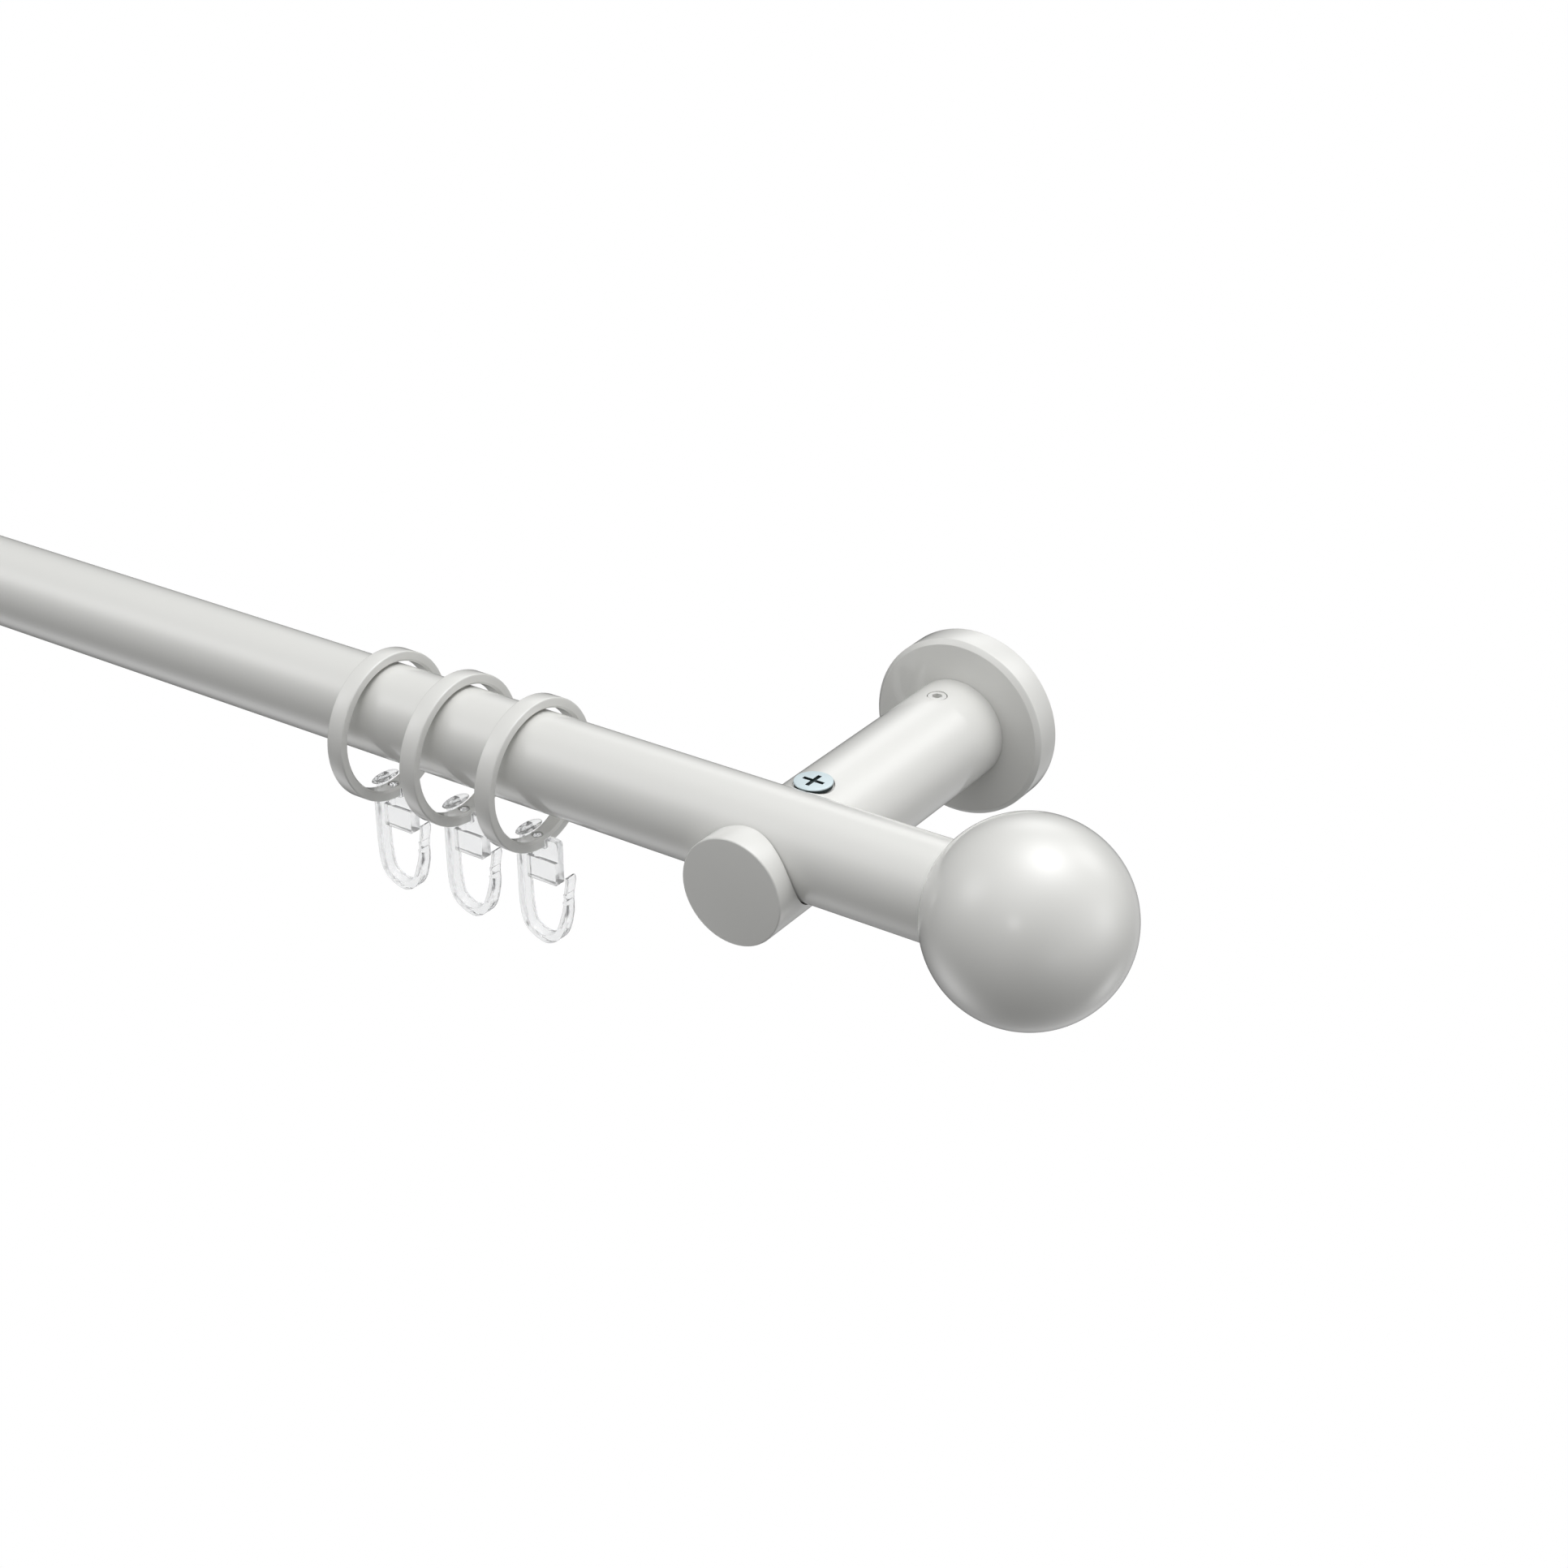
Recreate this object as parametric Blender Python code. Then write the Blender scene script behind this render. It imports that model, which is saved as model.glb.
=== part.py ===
"""Curtain rod on two wall brackets, with ball finials, sliding rings and clear curtain hooks.

Units are metres. X runs along the rod, +Y points into the wall and Z is up. The origin is the
centre of the right wall plate's back face, so the wall is the plane y = 0.
"""

import math

import bmesh
import bpy
from mathutils import Matrix, Vector

# Whole object
ROD_TO_WALL = 0.0750        # rod axis to wall
ROD_RISE = 0.0052           # rod axis above the post's axis
BRACKET_SPAN = 1.1040       # right post axis to left post axis
FIT_GAP = 0.0003            # between pieces that touch or fit into one another
HOLE_SIDES = 16
SCREW_SIDES = 20

# Rod
ROD_RADIUS = 0.0100
ROD_WALL = 0.0010
ROD_OVERHANG = 0.0480       # past each post's axis
ROD_SIDES = 48

# Bracket post, a solid bar that cradles the rod
POST_RADIUS = 0.0112
POST_FRONT = 0.0146         # in front of the rod's axis
POST_EDGE = 0.0003          # bevel of the front edge
POST_SIDES = 48

# Rosette, a cup that covers the wall plate
ROSETTE_RADIUS = 0.0199
ROSETTE_DEPTH = 0.0071
ROSETTE_CHAMFER = 0.0010
ROSETTE_SKIN = 0.0015       # thickness of the front
ROSETTE_RIM = 0.0017        # thickness of the side

# Wall plate with the spigot that carries the post
PLATE_RADIUS = 0.0176
PLATE_THICKNESS = 0.0030
PLATE_SIDES = 36
SPIGOT_RADIUS = 0.0060
SPIGOT_LENGTH = 0.0270      # from the wall
GROOVE_DEPTH = 0.0006       # where the grub screw bites
GROOVE_HALF_WIDTH = 0.0025
SCREW_HOLE_RADIUS = 0.00225
SCREW_HOLE_OFFSET = 0.0120  # two holes, left and right of the spigot

# Grub screw, M4, that locks the post on the spigot
GRUB_RADIUS = 0.0020
GRUB_TO_WALL = 0.0155
GRUB_SUNK = 0.00012         # below the post's crest
GRUB_TIP_RADIUS = 0.0012
HEX_ACROSS_FLATS = 0.0020
HEX_DEPTH = 0.0020
HEX_TURN = math.radians(34.0)

# Clamp screw, M4, behind the rod
CLAMP_BEHIND_ROD = 0.0133
CLAMP_SHANK_RADIUS = 0.0020
CLAMP_SHANK_LENGTH = 0.0145
CLAMP_HEAD_RADIUS = 0.0039
CLAMP_HEAD_THICKNESS = 0.00055
CLAMP_HEAD_TOP = 0.00635    # above the rod's axis
CLAMP_HEAD_EDGE = 0.00012
HEAD_CIRCLE_SIDES = 28
SPOT_FACE_RADIUS = 0.0042
SPOT_FACE_DROP = 0.0008     # below the head's underside
SPOT_FACE_SIDES = 32
CROSS_LENGTH = 0.0047
CROSS_WIDTH = 0.0009
CROSS_DEPTH = 0.00035

# Ball finial and the plug that holds it on the rod
BALL_RADIUS = 0.0199
BALL_FROM_POST = 0.05505
BALL_SIDES = 36
PLUG_LENGTH = 0.0165
PLUG_CHAMFER = 0.0008
STUD_RADIUS = 0.0030
STUD_LENGTH = 0.0090

# Ring, pierced at the bottom for the hook's peg
RING_RADIUS = 0.0164
RING_BORE = 0.01415
RING_WIDTH = 0.0040
RING_DROP = 0.00375         # ring centre below the rod's axis
RING_INNER_BEVEL = 0.0005
RING_OUTER_BEVEL = 0.00025
RING_SIDES = 40
PEG_HOLE_RADIUS = 0.00125
RINGS_FROM_POST = (0.0590, 0.0787, 0.0984)

# Clear hook, a profile in the X-Z plane. Heights are below the rod's axis.
HOOK_HALF_DEPTH = 0.0014
LEG_LEFT = -0.0047
FORK_LEFT = -0.0037
FORK_FRONT = -0.0005        # the fork stands back from the block's front face
FORK_RIGHT = 0.0055
FORK_GRIP = RING_WIDTH / 2 + FIT_GAP
FORK_LEFT_TOP = 0.0165
FORK_RIGHT_TOP = 0.0182
FORK_CORNER = 0.0009
CROWN_TOP = RING_DROP + RING_RADIUS + FIT_GAP
CROWN_BOTTOM = 0.0225
SHOULDER_TOP = 0.0192
SHOULDER_BOTTOM = 0.0200
BLOCK_LEFT = -0.0020
BLOCK_TOP = 0.0226
BLOCK_BOTTOM = 0.0278
PEG_RADIUS = 0.0009
PEG_TOP = 0.0180
PEG_FOOT = 0.0004           # how far the peg runs down into the block
PEG_SIDES = 12
HEAD_CENTRE = -0.0022
HEAD_SEMI_X = 0.0017
HEAD_SEMI_Y = 0.0038
HEAD_UNDERSIDE = 0.01685
HEAD_TOP = 0.0162
HEAD_EDGE = 0.0003
HEAD_SIDES = 16
ARM_STEPS = 2               # outline points per stretch of the arm's centre line
# The arm's centre line, from the leg round the bend to the out-turned tip: x, depth, thickness
ARM = (
    (-0.00378, 0.0225, 0.00185),
    (-0.00378, 0.0330, 0.00185),
    (-0.00350, 0.0367, 0.00190),
    (-0.00300, 0.0390, 0.00165),
    (-0.00195, 0.0404, 0.00150),
    (0.00000, 0.0415, 0.00165),
    (0.00210, 0.0418, 0.00175),
    (0.00410, 0.0409, 0.00175),
    (0.00555, 0.0392, 0.00165),
    (0.00635, 0.0374, 0.00160),
    (0.00685, 0.0357, 0.00150),
    (0.00732, 0.0338, 0.00125),
    (0.00755, 0.0319, 0.00090),
    (0.00765, 0.0303, 0.00065),
    (0.00785, 0.0287, 0.00065),
    (0.00815, 0.0272, 0.00072),
    (0.00828, 0.0260, 0.00075),
    (0.00815, 0.0252, 0.00055),
)


def clear_scene():
    for obj in list(bpy.data.objects):
        bpy.data.objects.remove(obj)


def make_material(name, colour, roughness, metallic=0.0, transmission=0.0):
    material = bpy.data.materials.new(name)
    material.use_nodes = True
    shader = material.node_tree.nodes["Principled BSDF"]
    shader.inputs["Base Color"].default_value = (*colour, 1.0)
    shader.inputs["Roughness"].default_value = roughness
    shader.inputs["Metallic"].default_value = metallic
    shader.inputs["Transmission Weight"].default_value = transmission
    material.diffuse_color = (*colour, 1.0)
    return material


def to_mesh(name, shape):
    """Turns the bmesh into a mesh with its faces outward, round faces smooth and edges sharp."""
    bmesh.ops.recalc_face_normals(shape, faces=shape.faces)
    mesh = bpy.data.meshes.new(name)
    shape.to_mesh(mesh)
    shape.free()
    mesh.shade_smooth()
    mesh.set_sharp_from_angle(angle=math.radians(30.0))
    return mesh


def turned(name, profile, axis, sides, closed=False):
    """Spins a profile of (radius, position along the axis) once round the X, Y or Z axis."""
    place = {
        "X": lambda radius, along: (along, 0.0, radius),
        "Y": lambda radius, along: (radius, along, 0.0),
        "Z": lambda radius, along: (radius, 0.0, along),
    }[axis]
    shape = bmesh.new()
    points = [shape.verts.new(place(radius, along)) for radius, along in profile]
    pairs = list(zip(points, points[1:]))
    if closed:
        pairs.append((points[-1], points[0]))
    edges = [shape.edges.new(pair) for pair in pairs]
    bmesh.ops.spin(
        shape,
        geom=points + edges,
        cent=(0.0, 0.0, 0.0),
        axis=Matrix.Identity(3)["XYZ".index(axis)],
        angle=math.tau,
        steps=sides,
        use_merge=True,
    )
    bmesh.ops.remove_doubles(shape, verts=shape.verts, dist=1e-7)
    return to_mesh(name, shape)


def block(name, low, high):
    """A box from its low corner to its high corner."""
    shape = bmesh.new()
    size = Vector(high) - Vector(low)
    centre = Matrix.Translation((Vector(high) + Vector(low)) / 2)
    bmesh.ops.create_cube(shape, size=1.0, matrix=centre @ Matrix.Diagonal((*size, 1.0)))
    return to_mesh(name, shape)


def upright(name, centre, radius, bottom, top, sides, turn=0.0):
    """A vertical prism or cylinder between two heights."""
    shape = bmesh.new()
    bmesh.ops.create_cone(
        shape,
        cap_ends=True,
        segments=sides,
        radius1=radius,
        radius2=radius,
        depth=top - bottom,
        matrix=Matrix.Translation((*centre, (bottom + top) / 2)) @ Matrix.Rotation(turn, 4, "Z"),
    )
    return to_mesh(name, shape)


def extruded(name, outline, half_depth):
    """A closed outline of (x, height) pushed out evenly to both sides of the X-Z plane."""
    shape = bmesh.new()
    face = shape.faces.new([shape.verts.new((x, -half_depth, height)) for x, height in outline])
    made = bmesh.ops.extrude_face_region(shape, geom=[face])["geom"]
    far = [item for item in made if isinstance(item, bmesh.types.BMVert)]
    bmesh.ops.translate(shape, verts=far, vec=(0.0, 2 * half_depth, 0.0))
    return to_mesh(name, shape)


def plain_cylinder(name, axis, radius, start, end, sides):
    """A cylinder along one of the three axes."""
    return turned(name, [(0.0, start), (radius, start), (radius, end), (0.0, end)], axis, sides)


def moved(mesh, offset):
    mesh.transform(Matrix.Translation(offset))
    return mesh


def combined(mesh, operations):
    """Applies (operation, tool mesh) pairs to a mesh in turn and returns the finished mesh."""
    body = bpy.data.objects.new(mesh.name, mesh)
    bpy.context.collection.objects.link(body)
    tools = []
    for operation, tool_mesh in operations:
        tool = bpy.data.objects.new(tool_mesh.name, tool_mesh)
        bpy.context.collection.objects.link(tool)
        modifier = body.modifiers.new(operation.title(), "BOOLEAN")
        modifier.operation = operation
        modifier.solver = "EXACT"
        modifier.object = tool
        tools.append(tool)
    depsgraph = bpy.context.evaluated_depsgraph_get()
    result = bpy.data.meshes.new_from_object(body.evaluated_get(depsgraph))
    for obj in [body, *tools]:
        bpy.data.objects.remove(obj)
    result.name = mesh.name
    result.shade_smooth()
    result.set_sharp_from_angle(angle=math.radians(30.0))
    return result


def place(name, mesh, material, parent=None, location=(0.0, 0.0, 0.0), turn=0.0):
    """Links an object that uses the mesh, with its material, under its parent."""
    if not mesh.materials:
        mesh.materials.append(material)
    obj = bpy.data.objects.new(name, mesh)
    obj.location = location
    obj.rotation_euler = (0.0, 0.0, turn)
    obj.parent = parent
    bpy.context.collection.objects.link(obj)
    return obj


def place_empty(name, location, turn=0.0):
    empty = bpy.data.objects.new(name, None)
    empty.location = location
    empty.rotation_euler = (0.0, 0.0, turn)
    empty.empty_display_size = 0.01
    bpy.context.collection.objects.link(empty)
    return empty


def rod_mesh():
    half = BRACKET_SPAN / 2 + ROD_OVERHANG
    bore = ROD_RADIUS - ROD_WALL
    profile = [(ROD_RADIUS, -half), (ROD_RADIUS, half), (bore, half), (bore, -half)]
    return turned("rod", profile, "X", ROD_SIDES, closed=True)


def post_mesh():
    """A bar along Y with a saddle for the rod, a bore for the spigot and two screw holes in its crest."""
    front = -ROD_TO_WALL - POST_FRONT
    back = -ROSETTE_DEPTH - FIT_GAP
    bore = SPIGOT_RADIUS + FIT_GAP
    bore_end = -SPIGOT_LENGTH - FIT_GAP
    bar = turned(
        "post",
        [
            (0.0, front),
            (POST_RADIUS - POST_EDGE, front),
            (POST_RADIUS, front + POST_EDGE),
            (POST_RADIUS, back),
            (bore, back),
            (bore, bore_end),
            (0.0, bore_end),
        ],
        "Y",
        POST_SIDES,
    )
    reach = 2 * POST_RADIUS
    saddle = plain_cylinder("saddle", "X", ROD_RADIUS + FIT_GAP, -reach, reach, ROD_SIDES)
    clamp = (0.0, CLAMP_BEHIND_ROD - ROD_TO_WALL)
    grub = (0.0, -GRUB_TO_WALL)
    under_head = ROD_RISE + CLAMP_HEAD_TOP - CLAMP_HEAD_THICKNESS
    shank_end = under_head - CLAMP_SHANK_LENGTH - FIT_GAP
    shank_room = CLAMP_SHANK_RADIUS + FIT_GAP
    grub_room = GRUB_RADIUS + FIT_GAP
    cuts = [
        moved(saddle, (0.0, -ROD_TO_WALL, ROD_RISE)),
        upright("spot_face", clamp, SPOT_FACE_RADIUS, under_head - SPOT_FACE_DROP, reach, SPOT_FACE_SIDES),
        upright("clamp_hole", clamp, shank_room, shank_end, reach, HOLE_SIDES),
        upright("grub_hole", grub, grub_room, 0.0, reach, HOLE_SIDES),
    ]
    return combined(bar, [("DIFFERENCE", cut) for cut in cuts])


def wall_plate_mesh():
    """A disc on the wall with a grooved spigot and two screw holes."""
    groove = SPIGOT_RADIUS - GROOVE_DEPTH
    near = -GRUB_TO_WALL + GROOVE_HALF_WIDTH
    far = -GRUB_TO_WALL - GROOVE_HALF_WIDTH
    plate = turned(
        "wall_plate",
        [
            (0.0, 0.0),
            (PLATE_RADIUS, 0.0),
            (PLATE_RADIUS, -PLATE_THICKNESS),
            (SPIGOT_RADIUS, -PLATE_THICKNESS),
            (SPIGOT_RADIUS, near + GROOVE_DEPTH),
            (groove, near),
            (groove, far),
            (SPIGOT_RADIUS, far - GROOVE_DEPTH),
            (SPIGOT_RADIUS, -SPIGOT_LENGTH + GROOVE_DEPTH),
            (groove, -SPIGOT_LENGTH),
            (0.0, -SPIGOT_LENGTH),
        ],
        "Y",
        PLATE_SIDES,
    )
    through = 2 * PLATE_THICKNESS
    holes = []
    for offset in (-SCREW_HOLE_OFFSET, SCREW_HOLE_OFFSET):
        hole = plain_cylinder("screw_hole", "Y", SCREW_HOLE_RADIUS, -through, through, HOLE_SIDES)
        holes.append(("DIFFERENCE", moved(hole, (offset, 0.0, 0.0))))
    return combined(plate, holes)


def rosette_mesh():
    hole = SPIGOT_RADIUS + FIT_GAP
    inside = ROSETTE_RADIUS - ROSETTE_RIM
    profile = [
        (ROSETTE_RADIUS, 0.0),
        (ROSETTE_RADIUS, -ROSETTE_DEPTH + ROSETTE_CHAMFER),
        (ROSETTE_RADIUS - ROSETTE_CHAMFER, -ROSETTE_DEPTH),
        (hole, -ROSETTE_DEPTH),
        (hole, -ROSETTE_DEPTH + ROSETTE_SKIN),
        (inside, -ROSETTE_DEPTH + ROSETTE_SKIN),
        (inside, 0.0),
    ]
    return turned("rosette", profile, "Y", POST_SIDES, closed=True)


def grub_screw_mesh():
    """A headless screw with a cone point below and a hexagon socket on top."""
    top = POST_RADIUS - GRUB_SUNK
    tip = SPIGOT_RADIUS - GROOVE_DEPTH + FIT_GAP
    cone = GRUB_RADIUS - GRUB_TIP_RADIUS
    screw = turned(
        "grub_screw",
        [
            (0.0, tip),
            (GRUB_TIP_RADIUS, tip),
            (GRUB_RADIUS, tip + cone),
            (GRUB_RADIUS, top - 0.0002),
            (GRUB_RADIUS - 0.0002, top),
            (0.0, top),
        ],
        "Z",
        SCREW_SIDES,
    )
    corner = HEX_ACROSS_FLATS / 2 / math.cos(math.radians(30.0))
    socket = upright("hex_socket", (0.0, 0.0), corner, top - HEX_DEPTH, 2 * top, 6, HEX_TURN)
    return combined(screw, [("DIFFERENCE", socket)])


def clamp_screw_mesh():
    """A flat-headed screw with a shallow cross recess, its head's top at height zero."""
    under = -CLAMP_HEAD_THICKNESS
    end = under - CLAMP_SHANK_LENGTH
    screw = turned(
        "clamp_screw",
        [
            (0.0, end),
            (CLAMP_SHANK_RADIUS - 0.0004, end),
            (CLAMP_SHANK_RADIUS, end + 0.0004),
            (CLAMP_SHANK_RADIUS, under),
            (CLAMP_HEAD_RADIUS, under),
            (CLAMP_HEAD_RADIUS, -CLAMP_HEAD_EDGE),
            (CLAMP_HEAD_RADIUS - CLAMP_HEAD_EDGE, 0.0),
            (0.0, 0.0),
        ],
        "Z",
        HEAD_CIRCLE_SIDES,
    )
    slots = []
    for size_x, size_y in ((CROSS_LENGTH, CROSS_WIDTH), (CROSS_WIDTH, CROSS_LENGTH)):
        corner = Vector((size_x / 2, size_y / 2, CROSS_DEPTH))
        slots.append(("DIFFERENCE", block("slot", -corner, corner)))
    return combined(screw, slots)


def finial_ball_mesh():
    """A ball centred on the origin with a stepped blind socket on its -X side."""
    socket = ROD_RADIUS + FIT_GAP
    rod_end = ROD_OVERHANG - BALL_FROM_POST + FIT_GAP
    stud_end = ROD_OVERHANG - BALL_FROM_POST + STUD_LENGTH + FIT_GAP
    stud_room = STUD_RADIUS + FIT_GAP
    mouth = math.pi - math.asin(socket / BALL_RADIUS)
    steps = BALL_SIDES // 2 - 2
    angles = [mouth * (1 - step / steps) for step in range(steps)]
    profile = [
        (0.0, stud_end),
        (stud_room, stud_end),
        (stud_room, rod_end),
        (socket, rod_end),
        *((BALL_RADIUS * math.sin(angle), BALL_RADIUS * math.cos(angle)) for angle in angles),
        (0.0, BALL_RADIUS),
    ]
    return turned("finial_ball", profile, "X", BALL_SIDES)


def finial_plug_mesh():
    """A plug pressed into the rod's end, with the stud that the ball screws onto."""
    body = ROD_RADIUS - ROD_WALL - FIT_GAP
    face = ROD_OVERHANG - BALL_FROM_POST
    end = face - PLUG_LENGTH
    profile = [
        (0.0, end),
        (body - PLUG_CHAMFER, end),
        (body, end + PLUG_CHAMFER),
        (body, face),
        (STUD_RADIUS, face),
        (STUD_RADIUS, face + STUD_LENGTH - 0.0004),
        (STUD_RADIUS - 0.0004, face + STUD_LENGTH),
        (0.0, face + STUD_LENGTH),
    ]
    return turned("finial_plug", profile, "X", SCREW_SIDES)


def ring_mesh():
    """A ring centred below the rod's axis, pierced at the bottom."""
    half = RING_WIDTH / 2
    hoop = turned(
        "ring",
        [
            (RING_BORE, RING_INNER_BEVEL - half),
            (RING_BORE + RING_INNER_BEVEL, -half),
            (RING_RADIUS - RING_OUTER_BEVEL, -half),
            (RING_RADIUS, RING_OUTER_BEVEL - half),
            (RING_RADIUS, half - RING_OUTER_BEVEL),
            (RING_RADIUS - RING_OUTER_BEVEL, half),
            (RING_BORE + RING_INNER_BEVEL, half),
            (RING_BORE, half - RING_INNER_BEVEL),
        ],
        "X",
        RING_SIDES,
        closed=True,
    )
    peg_hole = upright("peg_hole", (0.0, 0.0), PEG_HOLE_RADIUS, -2 * RING_RADIUS, -RING_DROP, HOLE_SIDES)
    return combined(moved(hoop, (0.0, 0.0, -RING_DROP)), [("DIFFERENCE", peg_hole)])


def catmull_rom(a, b, c, d, t):
    """The value at t between b and c, with a before them and d after."""
    slope = (c - a) * t
    bend = (2 * a - 5 * b + 4 * c - d) * t**2
    twist = (3 * b - a - 3 * c + d) * t**3
    return 0.5 * (2 * b + slope + bend + twist)


def smooth_path(points, steps):
    """Smooth samples of (x, depth, thickness) through every point."""
    padded = [points[0], *points, points[-1]]
    path = []
    for stretch in zip(padded, padded[1:], padded[2:], padded[3:]):
        for step in range(steps):
            path.append(tuple(catmull_rom(*values, step / steps) for values in zip(*stretch)))
    path.append(points[-1])
    return path


def arm_outline():
    """The arm's left-hand side from leg to tip and its inner side back up, as (x, height) points."""
    path = smooth_path(ARM, ARM_STEPS)
    outer = []
    inner = []
    for index, (x, depth, thickness) in enumerate(path):
        ahead = path[min(index + 1, len(path) - 1)]
        behind = path[max(index - 1, 0)]
        along = Vector((ahead[0] - behind[0], behind[1] - ahead[1])).normalized()
        side = Vector((along.y, -along.x)) * thickness / 2
        outer.append((x + side.x, -depth + side.y))
        inner.append((x - side.x, -depth - side.y))
    return outer[1:], inner[:0:-1]


def quarter_round(corner_x, corner_height, radius, start):
    """Points of a rounded corner, turning by a quarter from the start angle."""
    centre_x = corner_x - radius * (math.cos(start) + math.cos(start + math.pi / 2))
    centre_height = corner_height - radius * (math.sin(start) + math.sin(start + math.pi / 2))
    angles = [start + step * math.pi / 8 for step in range(5)]
    return [(centre_x + radius * math.cos(a), centre_height + radius * math.sin(a)) for a in angles]


def hook_mesh():
    """A clear fork that straddles the ring's bottom, with an oval head inside it and a hook below."""
    outer, inner = arm_outline()
    leg_inner = ARM[0][0] + ARM[0][2] / 2
    outline = [
        *outer,
        *inner,
        (leg_inner, -CROWN_BOTTOM),
        (BLOCK_LEFT, -CROWN_BOTTOM),
        (BLOCK_LEFT, -BLOCK_BOTTOM),
        (FORK_RIGHT, -BLOCK_BOTTOM),
        *quarter_round(FORK_RIGHT, -FORK_RIGHT_TOP, FORK_CORNER, 0.0),
        (FORK_GRIP, -FORK_RIGHT_TOP),
        (FORK_GRIP, -CROWN_TOP),
        (-FORK_GRIP, -CROWN_TOP),
        (-FORK_GRIP, -FORK_LEFT_TOP),
        *quarter_round(FORK_LEFT, -FORK_LEFT_TOP, FORK_CORNER, math.pi / 2),
        (FORK_LEFT, -SHOULDER_TOP),
        (LEG_LEFT, -SHOULDER_BOTTOM),
    ]
    step = block(
        "step",
        (leg_inner, -2 * HOOK_HALF_DEPTH, -BLOCK_TOP),
        (2 * FORK_RIGHT, FORK_FRONT, 0.0),
    )
    head = turned(
        "head",
        [
            (0.0, -HEAD_UNDERSIDE),
            (1.0, -HEAD_UNDERSIDE),
            (1.0, -HEAD_TOP - HEAD_EDGE),
            (0.85, -HEAD_TOP),
            (0.0, -HEAD_TOP),
        ],
        "Z",
        HEAD_SIDES,
    )
    head.transform(Matrix.Diagonal((HEAD_SEMI_X, HEAD_SEMI_Y, 1.0, 1.0)))
    head.transform(Matrix.Translation((HEAD_CENTRE, 0.0, 0.0)))
    peg = upright("peg", (0.0, 0.0), PEG_RADIUS, -BLOCK_TOP - PEG_FOOT, -PEG_TOP, PEG_SIDES)
    return combined(
        extruded("hook", outline, HOOK_HALF_DEPTH),
        [("DIFFERENCE", step), ("UNION", head), ("UNION", peg)],
    )


def build():
    clear_scene()
    lacquer = make_material("white_lacquer", (0.72, 0.72, 0.69), 0.32)
    ball_lacquer = make_material("gloss_lacquer", (0.72, 0.72, 0.69), 0.12)
    zinc = make_material("zinc_plated_steel", (0.62, 0.72, 0.76), 0.30, metallic=1.0)
    steel = make_material("steel", (0.45, 0.46, 0.46), 0.35, metallic=1.0)
    dark_plastic = make_material("plug_plastic", (0.10, 0.10, 0.10), 0.5)
    clear = make_material("clear_plastic", (0.95, 0.96, 0.97), 0.05, transmission=1.0)

    meshes = {
        "wall_plate": (wall_plate_mesh(), steel),
        "rosette": (rosette_mesh(), lacquer),
        "post": (post_mesh(), lacquer),
        "grub_screw": (grub_screw_mesh(), steel),
        "clamp_screw": (clamp_screw_mesh(), zinc),
    }
    seats = {
        "grub_screw": (0.0, -GRUB_TO_WALL, 0.0),
        "clamp_screw": (0.0, CLAMP_BEHIND_ROD - ROD_TO_WALL, ROD_RISE + CLAMP_HEAD_TOP),
    }
    ball = finial_ball_mesh()
    plug = finial_plug_mesh()
    ring = ring_mesh()
    hook = hook_mesh()

    place("rod", rod_mesh(), lacquer, location=(-BRACKET_SPAN / 2, -ROD_TO_WALL, ROD_RISE))
    for side, post_x, outward in (("right", 0.0, 1), ("left", -BRACKET_SPAN, -1)):
        bracket = place_empty(f"bracket_{side}", (post_x, 0.0, 0.0))
        for piece, (mesh, material) in meshes.items():
            place(f"{piece}_{side}", mesh, material, bracket, seats.get(piece, (0.0, 0.0, 0.0)))
        finial_x = post_x + outward * BALL_FROM_POST
        turn = 0.0 if outward > 0 else math.pi
        finial = place_empty(f"finial_{side}", (finial_x, -ROD_TO_WALL, ROD_RISE), turn)
        place(f"finial_ball_{side}", ball, ball_lacquer, finial)
        place(f"finial_plug_{side}", plug, dark_plastic, finial)
        for number, distance in enumerate(RINGS_FROM_POST, start=1):
            ring_x = post_x - outward * distance
            carrier = place_empty(f"carrier_{side}_{number}", (ring_x, -ROD_TO_WALL, ROD_RISE))
            place(f"ring_{side}_{number}", ring, lacquer, carrier)
            place(f"hook_{side}_{number}", hook, clear, carrier)


build()
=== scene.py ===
import math

import bmesh
import bpy
from mathutils import Matrix, Vector


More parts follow.
